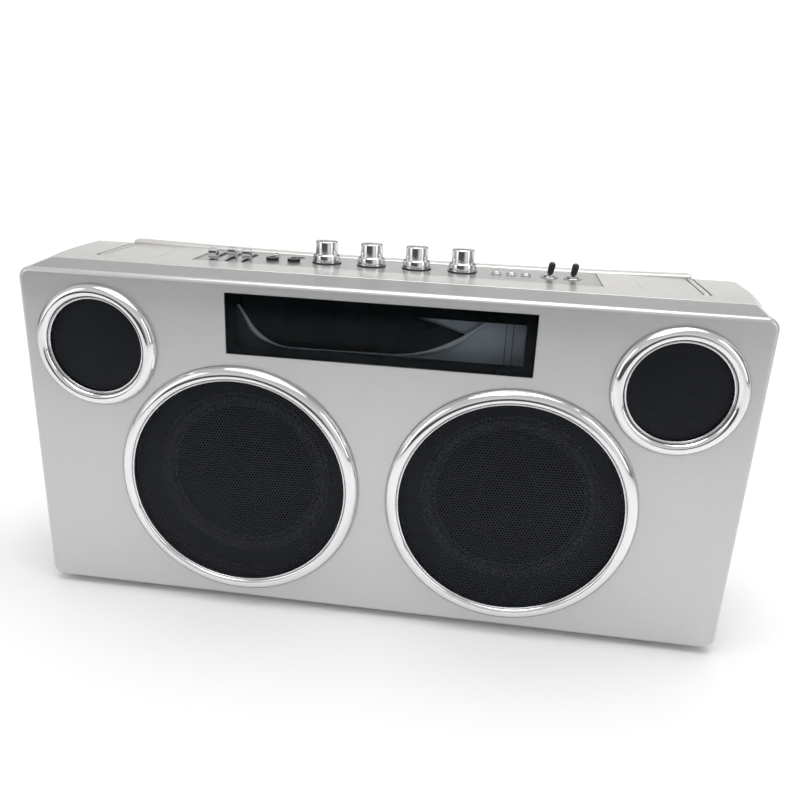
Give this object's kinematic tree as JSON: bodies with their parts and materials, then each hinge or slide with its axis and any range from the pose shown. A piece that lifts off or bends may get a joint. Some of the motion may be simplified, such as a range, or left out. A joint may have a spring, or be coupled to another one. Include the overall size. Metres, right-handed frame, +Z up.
{
  "type": "boombox",
  "caption": "Wide silver portable speaker box with chrome-ringed woofers and tweeters, smoked display window, top controls and fold-flat handle.",
  "frame": {"origin": "centre of the bounding box in plan, at the plane of the feet", "axes": "+X to the right seen from the front, +Y from the front face to the back, +Z up"},
  "size_m": [0.6086, 0.158, 0.318],
  "materials": {
    "silver_paint": "metallic silver paint over moulded plastic, satin gloss",
    "satin_aluminium": "satin, slightly darker than the cabinet",
    "chrome": "mirror-bright plating",
    "black_mesh": "black, finely perforated, satin",
    "smoked_window": "smoked, glossy",
    "black_plastic": "fine satin moulded",
    "grey_plastic": "semi-gloss moulded",
    "circuit_board": "green solder mask",
    "cone_paper": "matt black pressed paper",
    "rubber": "matt",
    "basket_steel": "black painted steel",
    "bright_steel": "bright"
  },
  "bodies": {
    "cabinet": {"front_panel": "silver_paint", "cabinet_shell": "silver_paint", "hinge_cover_left": "silver_paint", "hinge_cover_right": "silver_paint", "control_plate": "satin_aluminium", "woofer_ring_left": "chrome", "woofer_ring_right": "chrome", "tweeter_ring_left": "chrome", "tweeter_ring_right": "chrome", "toggle_switch_1": "chrome", "toggle_switch_2": "chrome", "aux_jack": "chrome", "woofer_grille_left": "black_mesh", "woofer_grille_right": "black_mesh", "tweeter_grille_left": "black_mesh", "tweeter_grille_right": "black_mesh", "display_window": "smoked_window", "back_panel": "black_plastic", "display_housing": "black_plastic", "mic_jack_1": "black_plastic", "mic_jack_2": "black_plastic", "dc_inlet": "black_plastic", "battery_pack": "black_plastic", "display_reflector": "grey_plastic", "display_board": "circuit_board", "knob_board": "circuit_board", "slider_board": "circuit_board", "button_board": "circuit_board", "amplifier_board": "circuit_board", "woofer_surround_left": "rubber", "woofer_surround_right": "rubber", "foot_1": "rubber", "foot_2": "rubber", "foot_3": "rubber", "foot_4": "rubber", "woofer_basket_left": "basket_steel", "woofer_basket_right": "basket_steel", "tweeter_driver_left": "basket_steel", "tweeter_driver_right": "basket_steel", "pivot_pin_left": "bright_steel", "pivot_pin_right": "bright_steel", "usb_port": "bright_steel"},
    "handle": {"handle_grip": "silver_paint", "handle_arm_left": "silver_paint", "handle_arm_right": "silver_paint"},
    "knob_1": {"knob_1": "chrome"},
    "knob_2": {"knob_2": "chrome"},
    "knob_3": {"knob_3": "chrome"},
    "knob_4": {"knob_4": "chrome"},
    "slider_1": {"slider_cap_1": "chrome"},
    "slider_2": {"slider_cap_2": "chrome"},
    "slider_3": {"slider_cap_3": "chrome"},
    "button_1": {"button_1": "chrome"},
    "button_2": {"button_2": "chrome"},
    "button_3": {"button_3": "chrome"},
    "toggle_1": {"toggle_lever_1": "black_plastic"},
    "toggle_2": {"toggle_lever_2": "black_plastic"},
    "woofer_cone_left": {"woofer_cone_left": "cone_paper"},
    "woofer_cone_right": {"woofer_cone_right": "cone_paper"}
  },
  "joints": [
    {"name": "handle_fold", "type": "hinge", "parent": "cabinet", "child": "handle", "pos_m": [0, -0.001, 0.2925], "axis": [1, 0, 0], "range_deg": [0, 95]},
    {"name": "knob_1_turn", "type": "hinge", "parent": "cabinet", "child": "knob_1", "pos_m": [-0.0641, 0.032, 0.2975], "axis": [0, 0, 1], "range_deg": [-150, 150]},
    {"name": "knob_2_turn", "type": "hinge", "parent": "cabinet", "child": "knob_2", "pos_m": [-0.0232, 0.032, 0.2975], "axis": [0, 0, 1], "range_deg": [-150, 150]},
    {"name": "knob_3_turn", "type": "hinge", "parent": "cabinet", "child": "knob_3", "pos_m": [0.0177, 0.032, 0.2975], "axis": [0, 0, 1], "range_deg": [-150, 150]},
    {"name": "knob_4_turn", "type": "hinge", "parent": "cabinet", "child": "knob_4", "pos_m": [0.0586, 0.032, 0.2975], "axis": [0, 0, 1], "range_deg": [-150, 150]},
    {"name": "slider_1_travel", "type": "slide", "parent": "cabinet", "child": "slider_1", "axis": [0, 1, 0], "range_m": [-0.0042, 0.0322]},
    {"name": "slider_2_travel", "type": "slide", "parent": "cabinet", "child": "slider_2", "axis": [0, 1, 0], "range_m": [-0.0147, 0.0217]},
    {"name": "slider_3_travel", "type": "slide", "parent": "cabinet", "child": "slider_3", "axis": [0, 1, 0], "range_m": [-0.0102, 0.0262]},
    {"name": "button_1_press", "type": "slide", "parent": "cabinet", "child": "button_1", "axis": [0, 0, -1], "range_m": [0, 0.001], "stiffness_N_per_m": 800, "springref_m": -0.0005},
    {"name": "button_2_press", "type": "slide", "parent": "cabinet", "child": "button_2", "axis": [0, 0, -1], "range_m": [0, 0.001], "stiffness_N_per_m": 800, "springref_m": -0.0005},
    {"name": "button_3_press", "type": "slide", "parent": "cabinet", "child": "button_3", "axis": [0, 0, -1], "range_m": [0, 0.001], "stiffness_N_per_m": 800, "springref_m": -0.0005},
    {"name": "toggle_1_throw", "type": "hinge", "parent": "cabinet", "child": "toggle_1", "pos_m": [0.1351, 0.032, 0.299], "axis": [0, 1, 0], "range_deg": [-18, 0]},
    {"name": "toggle_2_throw", "type": "hinge", "parent": "cabinet", "child": "toggle_2", "pos_m": [0.1553, 0.032, 0.299], "axis": [0, 1, 0], "range_deg": [-18, 0]},
    {"name": "woofer_left_stroke", "type": "slide", "parent": "cabinet", "child": "woofer_cone_left", "axis": [0, -1, 0], "range_m": [-0.003, 0.003], "stiffness_N_per_m": 1500},
    {"name": "woofer_right_stroke", "type": "slide", "parent": "cabinet", "child": "woofer_cone_right", "axis": [0, -1, 0], "range_m": [-0.003, 0.003], "stiffness_N_per_m": 1500}
  ]
}
